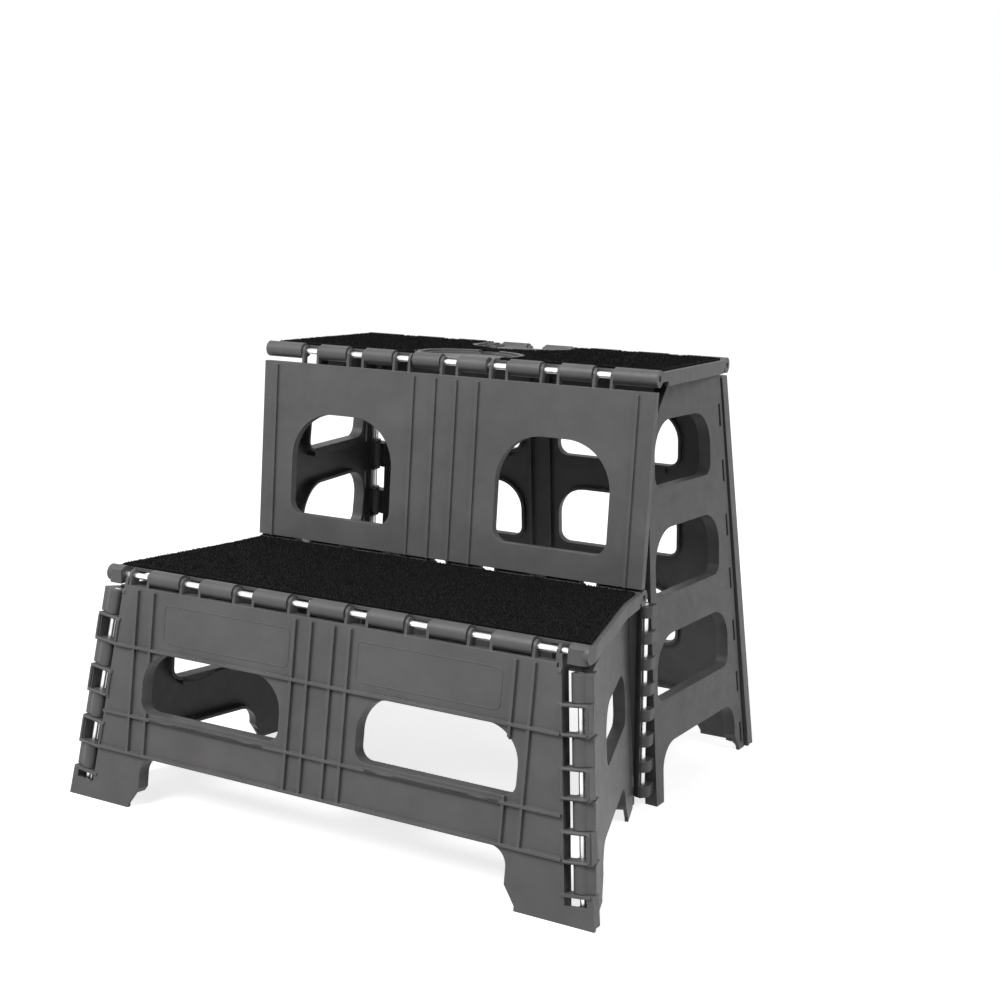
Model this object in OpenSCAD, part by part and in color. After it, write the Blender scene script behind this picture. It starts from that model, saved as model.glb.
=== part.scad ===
// Two-step folding pet stairs, in millimetres.
// X is the width, Y the depth with the front at -Y, Z is up, the floor is at zero.

/* [Steps] */
// height of the lower step's hinge rods
lower_h = 203; // [197:1:209]
// height of the upper step's hinge rods
upper_h = 393.5; // [388:1:399]
// lower step, front rod to rear rod
lower_depth = 184.2; // [178:1:190]
// upper step, front rod to rear rod
upper_depth = 181.5; // [176:1:187]
// how far the riser's top stands behind its foot
riser_lean = 10.3; // [6:0.5:14]
// how far the front panel's foot stands ahead of its top
front_kick = 24; // [20:1:28]
// how far the back panel's foot stands behind its top
back_kick = 48; // [44:1:52]

/* [Widths from the middle] */
// lower step at its front corner
lower_half_w = 233; // [230:1:236]
// upper step and riser
upper_half_w = 203; // [201:1:206]
// front panel's outer corner at the floor
front_foot_half_w = 260; // [258:1:264]
// back panel's outer corner at the floor
back_foot_half_w = 240; // [238:1:244]
// back panel's outer corner at its top
back_top_half_w = 200.5; // [200:0.5:202]
// front corner rod at its top
front_rod_top_x = 224.2; // [223:0.2:225]
// front corner rod at the floor
front_rod_foot_x = 247; // [245:0.5:249]
// rear corner rod at its top
back_rod_top_x = 191; // [190:0.5:192]
// rear corner rod at the floor
back_rod_foot_x = 227; // [225:0.5:229]

/* [Middle side hinge] */
// rod at the floor, from the middle
mid_foot_x = 201.5; // [200:0.5:203]
// rod at the floor, from the lower step's front rod
mid_foot_y = 209.6; // [207:0.2:212]
// rod at its top, from the middle
mid_top_x = 196; // [194:0.5:198]
// rod at its top, from the lower step's front rod
mid_top_y = 208; // [206:0.2:210]
// how far the rod's top point lies under the lower step's rods
mid_top_drop = 23; // [21:1:27]

/* [Hinges] */
// rod thickness
rod_d = 5.6; // [5:0.1:6]
// play round a rod
rod_fit = 0.05; // [0.03:0.01:0.09]
// knuckle thickness
knuckle_d = 15; // [14:0.2:16]
// lug thickness
lug_t = 2.6; // [2:0.2:3]
// clear length of a lower step hinge window
lower_window = 17.5; // [15:0.5:19]
// clear length of an upper step hinge window
upper_window = 14; // [12:0.5:16]
// play between neighbouring knuckles
knuckle_play = 0.4; // [0.3:0.1:0.6]

/* [Walls] */
// panel face thickness
skin_t = 3.2; // [2.8:0.1:3.6]
// thickness from a panel's rod line to its face
face_off = 8; // [7.8:0.1:8.4]
// rim and rib thickness
rim_t = 3; // [2.4:0.2:3.6]
// height of small raised ribs and rings
rib_h = 1.8; // [1.2:0.2:2.4]
// height of the front panel's and riser's ribs
tall_rib_h = 3.4; // [2.4:0.2:3.8]
// raised rib width
rib_w = 2.4; // [1.6:0.2:3]

/* [Carpets and handles] */
// carpet thickness
carpet_t = 3; // [2.5:0.1:3.5]
// step face thickness
tread_t = 3.2; // [3:0.1:3.4]
// room beside the handle's neck
neck_room = 2.5; // [2:0.1:3]
// handle head half width
head_half_w = 46; // [44:0.5:48]
// handle length from its rod
handle_len = 72; // [68:1:76]
// handle plate thickness
handle_t = 3.4; // [3:0.1:3.6]

/* [Hidden] */
$fn = 48;

// colours
grey = [0.42, 0.41, 0.41];
black = [0.03, 0.03, 0.03];
steel = [0.85, 0.85, 0.86];

// rod positions in depth, from the lower step's front rod
riser_top_y = lower_depth + riser_lean;
rear_top_y = riser_top_y + upper_depth;
rear_foot_y = rear_top_y + back_kick;

// panel lengths and leans
front_len = sqrt(lower_h * lower_h + front_kick * front_kick);
front_lean = atan(front_kick / lower_h);
riser_rise = upper_h - lower_h;
riser_len = sqrt(riser_rise * riser_rise + riser_lean * riser_lean);
riser_angle = atan(riser_lean / riser_rise);
back_len = sqrt(upper_h * upper_h + back_kick * back_kick);
back_lean = atan(back_kick / upper_h);

// depth centring, so the whole stands about the origin
depth_front = -front_kick - face_off * front_len / lower_h;
depth_rear = rear_foot_y + face_off * back_len / upper_h;
depth_shift = -(depth_front + depth_rear) / 2;

// hinge sizes
knuckle_r = knuckle_d / 2;
bore_d = rod_d + 2 * rod_fit;
edge_play = 0.8;
edge_gap = knuckle_r + edge_play;
lug_r = 5.4;
cut = 1;
big = 900;
lower_windows = 8;
lower_pitch_share = 0.2425; // of the lower half width
lower_pitch = lower_half_w * lower_pitch_share;
upper_windows = 7;
upper_pitch = 2 * upper_half_w / (upper_windows + 1);
lower_lug_x = lower_window / 2 + lug_t / 2;
upper_lug_x = upper_window / 2 + lug_t / 2;
lower_zone = lower_window + 2 * lug_t + 2 * knuckle_play;
upper_zone = upper_window + 2 * lug_t + 2 * knuckle_play;
upper_knuckle = upper_pitch - upper_zone;
neck_half_w = upper_pitch - upper_zone / 2 - neck_room;
lower_knuckle = lower_pitch - lower_zone;
rod_end = 2.5;

// vector helpers
function unit(v) = v / norm(v);
function along(v, e) = v - (v * e) * e;
function frame_of(ex, ey, ez, o) = [
  [ex[0], ey[0], ez[0], o[0]],
  [ex[1], ey[1], ez[1], o[1]],
  [ex[2], ey[2], ez[2], o[2]],
  [0, 0, 0, 1]];
function local_of(ex, ey, ez, o, p) = [(p - o) * ex, (p - o) * ey, (p - o) * ez];

// corner points of the right side
front_foot = [front_rod_foot_x, -front_kick, 0];
front_top = [front_rod_top_x, 0, lower_h];
back_foot = [back_rod_foot_x, rear_foot_y, 0];
back_top = [back_rod_top_x, rear_top_y, upper_h];
mid_top_h = lower_h - mid_top_drop;
mid_foot = [mid_foot_x, mid_foot_y, 0];
mid_top = [mid_top_x, mid_top_y, mid_top_h];

// low side: z along the front corner rod, x towards the middle hinge, y inward
low_drop = 16;
low_z = unit(front_top - front_foot);
low_x = unit(along(mid_foot - [low_drop, 0, 0] - front_foot, low_z));
low_y = cross(low_z, low_x);
low_mid0 = local_of(low_x, low_y, low_z, front_foot, mid_foot);
low_mid1 = local_of(low_x, low_y, low_z, front_foot, mid_top);

// tall side: z along the rear corner rod, x towards the middle hinge, y outward
tall_push = 3;
tall_z = unit(back_top - back_foot);
tall_x = unit(along(mid_foot + [tall_push, 0, 0] - back_foot, tall_z));
tall_y = cross(tall_z, tall_x);
tall_mid0 = local_of(tall_x, tall_y, tall_z, back_foot, mid_foot);
tall_mid1 = local_of(tall_x, tall_y, tall_z, back_foot, mid_top);

// height on a side's own z for a level line in the whole
function low_at(x, h) = (h - x * low_x[2]) / low_z[2];
function tall_at(x, h) = (h - x * tall_x[2]) / tall_z[2];
low_level = -atan(low_x[2] / low_z[2]);
tall_level = -atan(tall_x[2] / tall_z[2]);

// middle rod frame
mid_z = unit(mid_top - mid_foot);
mid_x = unit(cross([0, 1, 0], mid_z));
mid_y = cross(mid_z, mid_x);

// corner hinge rows, measured along each rod from the floor
corner_len = norm(front_top - front_foot);
corner_pitch_share = 0.2336; // of the corner rod
corner_first_share = 0.1752;
corner_knuckle_share = 0.107;
corner_pitch = corner_len * corner_pitch_share;
corner_first = corner_len * corner_first_share;
corner_knuckle = corner_len * corner_knuckle_share;
corner_count = 4;
corner_rows = [for (i = [0 : corner_count - 1]) corner_first + i * corner_pitch];
corner_window = corner_pitch - corner_knuckle - 2 * lug_t - 2 * knuckle_play;
corner_in = 12.5;
corner_low = 12;

// rear corner rows
rear_count = 7;
rear_len = norm(back_top - back_foot);
rear_pitch_share = 0.1387; // of the rear rod
rear_first_share = 0.0502;
rear_pitch = rear_len * rear_pitch_share;
rear_first = rear_len * rear_first_share;
rear_slit = 22;
rear_rows = [for (i = [0 : rear_count - 1]) rear_first + i * rear_pitch];

// middle hinge lugs, measured along the middle rod from the floor
mid_lugs = 8;
mid_first = 12;
mid_lug_t = 10.4;
mid_pitch = (mid_top_h - mid_first) / (mid_lugs - 1);
mid_lug_r = 7.6;
mid_shell_r = 5.2;
mid_row = (mid_lugs - 1) * mid_pitch + mid_lug_t;
lug_play = 0.1;
mid_gap = 8.4;

// side sizes
low_top_h = lower_h - 14;
tall_top_h = upper_h - 10;
tall_step_h = lower_h - 7;
tall_front_in = 8;
tall_clear = 7.6;

// flat shapes
module round_rect(w, h, r) {
  translate([-w / 2 + r, 0]) square([w - 2 * r, h]);
  translate([-w / 2, r]) square([w, h - 2 * r]);
  for (x = [-1, 1], y = [r, h - r]) translate([x * (w / 2 - r), y]) circle(r = r);
}

// flat-bottomed hole with round shoulders, grown by g
module window(w, h, top_r, foot_r, g) {
  translate([0, -g]) {
    for (x = [-1, 1]) {
      translate([x * (w / 2 - foot_r), g + foot_r]) circle(r = foot_r + g);
      translate([x * (w / 2 - top_r), g + h - top_r]) circle(r = top_r + g, $fn = 72);
    }
    translate([-w / 2 + foot_r, 0]) square([w - 2 * foot_r, g + h - top_r]);
    translate([-w / 2 - g, g + foot_r]) square([w + 2 * g, h - top_r - foot_r]);
    translate([-w / 2 + top_r, g + h - top_r]) square([w - 2 * top_r, top_r + g]);
  }
}

// arch between two feet, grown by g, with the inner corners of the named feet cut off
module arch(w, h, r, g, sides) {
  translate([0, -h - g]) round_rect(w + 2 * g, 2 * (h + g), r + g);
  if (g == 0) for (s = sides) polygon([[s * (w / 2 - r), -cut], [s * (w / 2 + foot_cut_w), -cut],
    [s * (w / 2 + foot_cut_w), foot_cut_low], [s * w / 2, foot_cut_h], [s * (w / 2 - r), foot_cut_h]]);
}
foot_cut_w = 10;
foot_cut_low = 3;
foot_cut_h = 18;

// a slab from a flat shape drawn in x and z, thickness along y
module upright(y0, y1) {
  translate([0, y1, 0]) rotate([90, 0, 0]) linear_extrude(height = y1 - y0) children();
}

// a cylinder along x
module across(d, len) {
  rotate([0, 90, 0]) cylinder(d = d, h = len, center = true);
}

// everything under the floor
module under_floor() {
  translate([-big / 2, -big / 2, -big]) cube([big, big, big]);
}

// thin lugs either side of each window, reaching from v = -edge_gap up to the rod
module window_lugs(xs, lug_x) {
  for (x = xs, s = [-1, 1]) translate([x + s * lug_x, 0, 0]) {
    across(2 * lug_r, lug_t);
    translate([-lug_t / 2, -edge_gap - rim_t, -lug_r]) cube([lug_t, edge_gap + rim_t, 2 * lug_r]);
  }
}

// knuckles centred on the rod with a web towards +y of the step
module step_knuckles(xs, len, side) {
  for (x = xs) translate([x, 0, 0]) {
    across(knuckle_d, len);
    translate([-len / 2, side > 0 ? 0 : -edge_gap - rim_t, -web_low])
      cube([len, edge_gap + rim_t, web_low + tread_top]);
  }
}
tread_top = 5;
web_low = 3.3;

lower_xs = [for (i = [0 : lower_windows - 1]) (i - (lower_windows - 1) / 2) * lower_pitch];
lower_kx = [for (i = [1 : lower_windows - 1]) (i - lower_windows / 2) * lower_pitch];
upper_xs = [for (i = [0 : upper_windows - 1]) (i - (upper_windows - 1) / 2) * upper_pitch];
upper_mid_kx = [for (i = [1, 2, 5, 6]) (i - upper_windows / 2) * upper_pitch];
upper_all_kx = [for (i = [1 : upper_windows - 1]) (i - upper_windows / 2) * upper_pitch];
end_gap = 7.1;
upper_end_in = upper_xs[upper_windows - 1] + upper_zone / 2;
upper_end_len = upper_half_w - upper_end_in;
upper_end_x = upper_end_in + upper_end_len / 2;
lower_end_in = lower_xs[lower_windows - 1] + lower_zone / 2 + end_gap;
lower_end_len = lower_half_w - lower_end_in;
lower_end_x = lower_end_in + lower_end_len / 2;
upper_rod_len = 2 * (upper_half_w - rod_end);
lower_rod_len = 2 * (lower_end_in + lower_end_len / 3);

// front panel, drawn hanging from its rod: x across, y up the panel, z outward
front_z_shares = [0.232, 0.394, 0.694]; // of the lower height
front_x_shares = [-0.841, -0.764, -0.124, -0.056, 0.039, 0.107, 0.747, 0.816]; // of the lower half width
front_zs = lower_h * front_z_shares;
front_vx = lower_half_w * front_x_shares;
front_flare = atan((front_rod_foot_x - front_rod_top_x) / front_len);
front_corner_x = front_rod_top_x - corner_in - rim_t;
front_corner_drop = 12;
front_leg_share = 0.777; // of the lower half width
front_arch_share = 0.229; // of the lower height
front_hole_place = [0.4764, 0.4236]; // shares of the lower half width and height
front_hole_shares = [0.6266, 0.27];
front_leg_x = lower_half_w * front_leg_share;
front_arch_h = lower_h * front_arch_share;
front_arch_r = 15;
front_hole_x = lower_half_w * front_hole_place[0];
front_hole_z = lower_h * front_hole_place[1];
front_hole_w = lower_half_w * front_hole_shares[0];
front_hole_h = lower_h * front_hole_shares[1];
hole_top_r = 30;
hole_r = 11;
function front_v(h) = (h - lower_h) * front_len / lower_h;
function front_rod_x(h) = front_rod_foot_x + (front_rod_top_x - front_rod_foot_x) * h / lower_h;
function front_rib_end(h) = front_rod_x(h) - corner_in - rim_t / 2;

module front_outline() {
  polygon([[-lower_half_w, -front_corner_drop], [-front_corner_x, -front_corner_drop],
    [-front_corner_x, -edge_gap], [front_corner_x, -edge_gap],
    [front_corner_x, -front_corner_drop], [lower_half_w, -front_corner_drop],
    [front_foot_half_w, -front_len - face_off], [-front_foot_half_w, -front_len - face_off]]);
}

// holes and arch, grown by g
module front_voids(g) {
  for (s = [-1, 1]) translate([s * front_hole_x, front_v(front_hole_z)])
    window(front_hole_w, front_hole_h, hole_top_r, hole_r, g);
  translate([0, front_v(0)]) arch(2 * front_leg_x, front_arch_h, front_arch_r, g, [-1, 1]);
}

module corner_frame() {
  for (s = [-1, 1]) scale_x(s) translate([front_rod_foot_x, -front_len, 0])
    rotate([0, 0, front_flare]) children();
}

// mirror across the middle when s is negative
module scale_x(s) {
  if (s > 0) children();
  else mirror([1, 0, 0]) children();
}

module front_body() {
  difference() {
    union() {
      translate([0, 0, face_off - skin_t]) linear_extrude(height = skin_t) front_outline();
      // rim round the edge, holes and arch
      translate([0, 0, -rim_z]) linear_extrude(height = rim_z + face_off) intersection() {
        front_outline();
        union() {
          front_voids(rim_t);
          translate([-front_corner_x, -edge_gap - rim_t]) square([2 * front_corner_x, rim_t]);
          for (h = [front_zs[1], front_zs[2]])
            translate([-front_rib_end(h), front_v(h)]) square([2 * front_rib_end(h), rim_t]);
        }
      }
      // outer rims
      translate([0, 0, -web_low]) linear_extrude(height = web_low + face_off) intersection() {
        front_outline();
        corner_frame() translate([outer_in, 0]) square([outer_span, corner_len]);
      }
      // inner column walls and lugs
      corner_frame() {
        translate([-corner_in - rim_t, 0, -wall_back]) cube([rim_t, corner_len, wall_back + face_in]);
        for (z = corner_rows, s = [-1, 1])
          translate([0, z + s * (corner_knuckle / 2 + knuckle_play + lug_t / 2) - lug_t / 2, 0]) {
            rotate([-90, 0, 0]) cylinder(r = lug_r, h = lug_t);
            translate([-corner_in - rim_t, 0, -wall_in])
              cube([corner_in + rim_t + corner_out, lug_t, wall_in + face_off + lip_h]);
          }
        translate([0, corner_low / 2, 0]) rotate([-90, 0, 0]) cylinder(d = knuckle_d, h = corner_low / 2);
        translate([-corner_in, 0, -wall_in]) cube([corner_in + outer_in, corner_low, wall_in + face_in]);
      }
      // raised ribs on the face
      for (h = front_zs) translate([-front_rib_end(h), front_v(h), face_off - skin_t])
        cube([2 * front_rib_end(h), rib_w, skin_t + tall_rib_h]);
      for (x = front_vx) translate([x, front_v(front_zs[0]) + cut, face_off - skin_t])
        cube([rib_w, -edge_gap - rib_w - front_v(front_zs[0]) - cut, skin_t + tall_rib_h - rib_step]);
      window_lugs(lower_xs, lower_lug_x);
      for (x = lower_xs) translate([x - lower_window / 2, -edge_gap - rim_t, -web_low])
        cube([lower_window, rim_t, web_low + face_off]);
    }
    translate([0, 0, -big / 2]) linear_extrude(height = big) front_voids(0);
    corner_frame() {
      // windows
      for (i = [0 : corner_count]) {
        z = corner_first + (i - 0.5) * corner_pitch;
        if (i > 0 && i < corner_count)
          translate([-corner_in, z - corner_window / 2, -big / 2]) cube([corner_in + outer_in, corner_window, big]);
      }
      translate([-corner_in, corner_low + rim_t, -big / 2])
        cube([corner_in + outer_in, corner_first - corner_knuckle / 2 - knuckle_play - lug_t - corner_low - rim_t, big]);
      // openings for the low side's knuckles
      for (z = corner_rows) translate([-corner_in, z - corner_knuckle / 2 - knuckle_play, -big / 2])
        cube([big, corner_knuckle + 2 * knuckle_play, big]);
      translate([-corner_in, corner_rows[corner_count - 1], -big / 2]) cube([big, big, big]);
      // rod bore
      translate([0, corner_low - rod_end, 0]) rotate([-90, 0, 0]) cylinder(d = bore_d, h = corner_len);
    }
    across(bore_d, big);
    rotate([front_lean - 90, 0, 0]) translate([0, 0, -lower_h]) under_floor();
  }
}
rim_z = 5;
rib_step = 0.4;
lip_h = 1;
lip_t = 2.4;
outer_in = 6;
corner_out = 9.5;
outer_span = 40;
lug_back = 6;
wall_back = 5.4;
wall_in = 0.6;
face_in = face_off - skin_t / 2;

module front_panel() {
  color(grey) translate([0, depth_shift, lower_h]) rotate([90 - front_lean, 0, 0]) front_body();
}

// low side leaf, right hand
low_w = low_mid0[0];
low_hole_place = [0.565, 0.4433]; // shares of the leaf's width and the lower height
low_hole_shares = [0.493, 0.2463];
low_arch_shares = [0.512, 0.59, 0.197]; // middle and width of the leaf's width, height
low_hole_x = low_w * low_hole_place[0];
low_hole_z = lower_h * low_hole_place[1];
low_hole_w = low_w * low_hole_shares[0];
low_hole_h = lower_h * low_hole_shares[1];
low_arch_x = low_w * low_arch_shares[0];
low_arch_w = low_w * low_arch_shares[1];
low_arch_h = lower_h * low_arch_shares[2];
low_arch_r = 20;
low_slot_x = 9.5;
low_slot_w = 10;
low_slot_h = 16;
low_nose = 10.8;
nose_in = 6;
low_edge = 14;
low_band_from = 36;

module low_outline() {
  x1 = low_mid0[0] + low_edge;
  x2 = low_mid1[0] + low_edge;
  polygon([[edge_gap, -face_off], [x1, -face_off], [x2, low_at(x2, low_top_h)],
    [edge_gap, low_at(edge_gap, low_top_h)]]);
}

module low_voids(g) {
  translate([low_hole_x, low_at(low_hole_x, low_hole_z)]) rotate(low_level)
    window(low_hole_w, low_hole_h, hole_top_r - low_less_r, hole_r, g);
  translate([low_arch_x, low_at(low_arch_x, 0)]) rotate(low_level)
    arch(low_arch_w, low_arch_h, low_arch_r, g, [-1, 1]);
}

module low_side() {
  color(grey) translate([0, depth_shift, 0]) difference() {
    multmatrix(frame_of(low_x, low_y, low_z, front_foot)) difference() {
      union() {
        upright(-face_off, -face_off + skin_t) low_outline();
        upright(-face_off, low_in) intersection() {
          low_outline();
          union() {
            low_voids(rim_t);
            difference() {
              low_outline();
              polygon([[edge_gap - cut, -big],
                [low_mid0[0] + low_edge - rim_t, -big],
                [low_mid0[0] + low_edge - rim_t, 0],
                [low_mid1[0] + low_edge - rim_t, low_at(low_mid1[0], low_top_h) - rim_t],
                [edge_gap - cut, low_at(edge_gap, low_top_h) - rim_t]]);
              translate([-big, -big / 2]) square([big + low_band_from, big]);
            }
          }
        }
        upright(-face_off, edge_in) intersection() {
          low_outline();
          translate([edge_gap, -big / 2]) square([rim_t, big]);
        }
        for (z = corner_rows) translate([0, 0, z - corner_knuckle / 2]) {
          cylinder(d = knuckle_d, h = corner_knuckle);
          translate([-nose_in, -low_nose, 0]) cube([nose_in + edge_gap + rim_t, low_nose, corner_knuckle]);
          translate([0, -knuckle_r, 0]) cube([edge_gap + rim_t, knuckle_r + low_in, corner_knuckle]);
        }
      }
      upright(-big / 2, big / 2) low_voids(0);
      for (z = corner_rows) translate([low_slot_x, -big / 2, z - low_slot_h / 2])
        cube([low_slot_w, big, low_slot_h]);
      translate([0, 0, -rod_end]) cylinder(d = bore_d, h = corner_len + big / 2);
    }
    under_floor();
    // clearance trough for the middle rod
    mid_trough();
  }
}
low_in = 3;
low_less_r = 2;

module mid_trough() {
  multmatrix(frame_of(mid_x, mid_y, mid_z, mid_foot)) translate([0, 0, -big / 2])
    cylinder(r = mid_gap, h = big);
}

// tall side leaf, right hand
tall_w = tall_mid0[0];
tall_hole_xs = [0.474, 0.498, 0.514]; // middles as shares of the leaf's width, from the top hole
tall_hole_ws = [0.545, 0.6355, 0.7196];
tall_hole_zs = [0.7395, 0.4867, 0.2414]; // feet as shares of the upper height
tall_hole_hs = [0.155, 0.157, 0.152];
tall_arch_shares = [0.516, 0.748, 0.1347];
tall_arch_x = tall_w * tall_arch_shares[0];
tall_arch_w = tall_w * tall_arch_shares[1];
tall_arch_h = upper_h * tall_arch_shares[2];
tall_arch_r = 24;
tall_hole_top_r = 33;
tall_slot_x = 12.6;
tall_slot_w = 4.2;
tall_edge = 7;
tall_corner_h = upper_h - 101.5;
tall_corner_in = 14;
tall_corner_top = 42;

module tall_outline() {
  x0 = tall_mid0[0] - tall_edge;
  x1 = tall_mid0[0] - tall_edge + (tall_mid1[0] - tall_mid0[0]) * tall_step_h / mid_top_h;
  slope = (tall_mid1[0] - tall_mid0[0]) / (tall_mid1[2] - tall_mid0[2]);
  x2 = tall_mid0[0] + slope * tall_corner_h - tall_front_in;
  x3 = tall_mid0[0] + slope * tall_top_h - tall_front_in - tall_corner_top;
  polygon([[edge_gap, -face_off - back_kick], [x0, -face_off - back_kick], [x0, 0],
    [x1, tall_at(x1, tall_step_h)], [x2, tall_at(x2, tall_corner_h)],
    [x2 - tall_corner_in, tall_at(x2, tall_top_h - tall_corner_top)],
    [x3, tall_at(x3, tall_top_h)], [edge_gap, tall_at(edge_gap, tall_top_h)]]);
}

module tall_voids(g) {
  for (i = [0 : 2]) let(x = tall_w * tall_hole_xs[i])
    translate([x, tall_at(x, upper_h * tall_hole_zs[i])]) rotate(tall_level)
      window(tall_w * tall_hole_ws[i], upper_h * tall_hole_hs[i], tall_hole_top_r, hole_r, g);
  translate([tall_arch_x, tall_at(tall_arch_x, 0)]) rotate(tall_level)
    arch(tall_arch_w, tall_arch_h, tall_arch_r, g, [-1]);
}

module tall_side() {
  color(grey) translate([0, depth_shift, 0]) difference() {
    union() {
      multmatrix(frame_of(tall_x, tall_y, tall_z, back_foot)) difference() {
        union() {
          upright(face_off - skin_t, face_off) tall_outline();
          upright(-tall_in, face_off) intersection() {
            tall_outline();
            union() {
              tall_voids(rim_t);
              translate([band_from, tall_at(0, tall_top_h) - rim_t]) square([big, big]);
            }
          }
          upright(-edge_in, face_off) intersection() {
            tall_outline();
            translate([edge_gap, -big / 2]) square([rim_t, big]);
          }
          upright(-tall_in, face_off) tall_front_rim();
          for (z = rear_rows, s = [-1, 1])
            translate([0, 0, z + s * (rear_slit / 2 + lug_t / 2) - lug_t / 2]) {
              cylinder(r = lug_r, h = lug_t);
              translate([0, -tall_in, 0]) cube([edge_gap + rim_t, tall_in + lug_r, lug_t]);
            }
        }
        upright(-big / 2, big / 2) tall_voids(0);
        for (z = rear_rows) translate([tall_slot_x, -big / 2, z - rear_slit / 2])
          cube([tall_slot_w, big, rear_slit]);
        translate([0, 0, -rod_end]) cylinder(d = bore_d, h = rear_len + big / 2);
      }
      // lugs that carry the middle rod
      multmatrix(frame_of(mid_x, mid_y, mid_z, mid_foot)) difference() {
        union() {
          // trough behind the rod
          translate([0, 0, mid_first]) difference() {
            cylinder(r = mid_lug_r, h = mid_row);
            translate([0, 0, -cut]) cylinder(r = mid_shell_r, h = big);
            translate([0, -big / 2, -cut]) cube([big, big, big]);
          }
          translate([-mid_lug_r, 0, mid_first]) cube([mid_lug_r - mid_shell_r, tall_edge + rim_t, mid_row]);
          for (i = [0 : mid_lugs - 1]) translate([0, 0, mid_first + i * mid_pitch]) {
            cylinder(r = mid_lug_r - lug_play, h = mid_lug_t);
            translate([lug_play - mid_lug_r, 0, 0])
              cube([2 * (mid_lug_r - lug_play), tall_edge + rim_t, mid_lug_t]);
          }
        }
        translate([0, 0, -big / 2]) cylinder(d = bore_d, h = big);
      }
    }
    under_floor();
  }
}
tall_in = 4;
edge_in = 0.5;
band_from = 20;

module tall_front_rim() {
  intersection() {
    tall_outline();
    polygon([[tall_mid0[0] - tall_edge - rim_t, -big], [big, -big], [big, tall_at(0, tall_step_h)],
      [tall_mid1[0] - tall_edge - rim_t, tall_at(0, tall_step_h)]]);
  }
}

// riser between the steps, drawn hanging from the upper front rod
riser_hole_place = [0.5468, 0.173]; // shares of the upper half width and the upper rise
riser_hole_shares = [0.5517, 0.52];
riser_x_shares = [-0.931, -0.177, -0.064, 0.044, 0.153, 0.916]; // of the upper half width
riser_hole_x = upper_half_w * riser_hole_place[0];
riser_hole_z = lower_h + riser_rise * riser_hole_place[1];
riser_hole_w = upper_half_w * riser_hole_shares[0];
riser_hole_h = riser_rise * riser_hole_shares[1];
riser_hole_top_r = 44;
riser_hole_r = 13;
riser_vx = upper_half_w * riser_x_shares;
riser_top_gap = 11.5;
rib_stop = 3;
function riser_v(h) = (h - upper_h) * riser_len / riser_rise;

module riser_outline() {
  translate([-upper_half_w, -riser_len + edge_gap])
    square([2 * upper_half_w, riser_len - edge_gap - riser_top_gap]);
}

module riser_voids(g) {
  for (s = [-1, 1]) translate([s * riser_hole_x, riser_v(riser_hole_z)])
    window(riser_hole_w, riser_hole_h, riser_hole_top_r, riser_hole_r, g);
}

module riser_body() {
  difference() {
    union() {
      translate([0, 0, face_off - skin_t]) linear_extrude(height = skin_t) riser_outline();
      linear_extrude(height = face_off) intersection() {
        riser_outline();
        union() {
          riser_voids(rim_t);
          difference() {
            riser_outline();
            translate([-upper_half_w + rim_t, -riser_len + edge_gap + rim_t])
              square([2 * (upper_half_w - rim_t), riser_len - edge_gap - riser_top_gap - 2 * rim_t]);
          }
        }
      }
      for (x = riser_vx) translate([x, -riser_len + edge_gap, face_off - skin_t])
        cube([rib_w, riser_len - edge_gap - riser_top_gap - rib_stop, skin_t + tall_rib_h - lip_h]);
      // inner ribs
      for (x = [riser_vx[1], riser_vx[4]]) translate([x, -riser_len + edge_gap, 0])
        cube([rim_t, riser_len - edge_gap - riser_top_gap, face_off]);
      riser_lugs(1);
      translate([0, -riser_len, 0]) riser_lugs(-1);
    }
    translate([0, 0, -big / 2]) linear_extrude(height = big) riser_voids(0);
    across(bore_d, big);
    translate([0, -riser_len, 0]) across(bore_d, big);
  }
}

module riser_lugs(s) {
  reach = s > 0 ? riser_top_gap : edge_gap;
  for (x = upper_xs, t = [-1, 1]) translate([x + t * upper_lug_x, 0, 0]) {
    across(2 * lug_r, lug_t);
    translate([-lug_t / 2, s > 0 ? -reach - rim_t : 0, 0]) cube([lug_t, reach + rim_t, lug_r]);
  }
}

module upper_riser() {
  color(grey) translate([0, depth_shift + riser_top_y, upper_h]) rotate([90 - riser_angle, 0, 0]) riser_body();
}

// back panel, drawn hanging from the upper rear rod, z outward to the rear
back_hole_shares = [0.439, 0.658]; // middle and width, of the back panel's half width
back_hole_zs = [0.2465, 0.488, 0.7294]; // feet as shares of the upper height
back_hole_hs = [0.1525, 0.1525, 0.1423];
back_arch_shares = [0.858, 0.117]; // half width and height
back_band_share = 0.92;
back_hole_x = back_top_half_w * back_hole_shares[0];
back_hole_w = back_top_half_w * back_hole_shares[1];
back_band_h = upper_h * back_band_share;
back_centre_x = 11;
back_arch_h = upper_h * back_arch_shares[1];
back_arch_r = 24;
back_leg_x = back_top_half_w * back_arch_shares[0];
back_lug_back = 5.4;
function back_v(h) = (h - upper_h) * back_len / upper_h;
back_flare = atan((back_rod_foot_x - back_rod_top_x) / back_len);

module back_outline() {
  polygon([[-back_top_half_w, -riser_top_gap], [back_top_half_w, -riser_top_gap],
    [back_foot_half_w, -back_len - back_kick / 2], [-back_foot_half_w, -back_len - back_kick / 2]]);
}

module back_voids(g) {
  for (s = [-1, 1], i = [0 : 2]) translate([s * back_hole_x, back_v(upper_h * back_hole_zs[i])])
    window(back_hole_w, upper_h * back_hole_hs[i], hole_top_r, hole_r, g);
  translate([0, back_v(0)]) arch(2 * back_leg_x, back_arch_h, back_arch_r, g, [-1, 1]);
}

module back_corner_frame() {
  for (s = [-1, 1]) scale_x(s) translate([back_rod_foot_x, -back_len, 0])
    rotate([0, 0, back_flare]) children();
}

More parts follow.
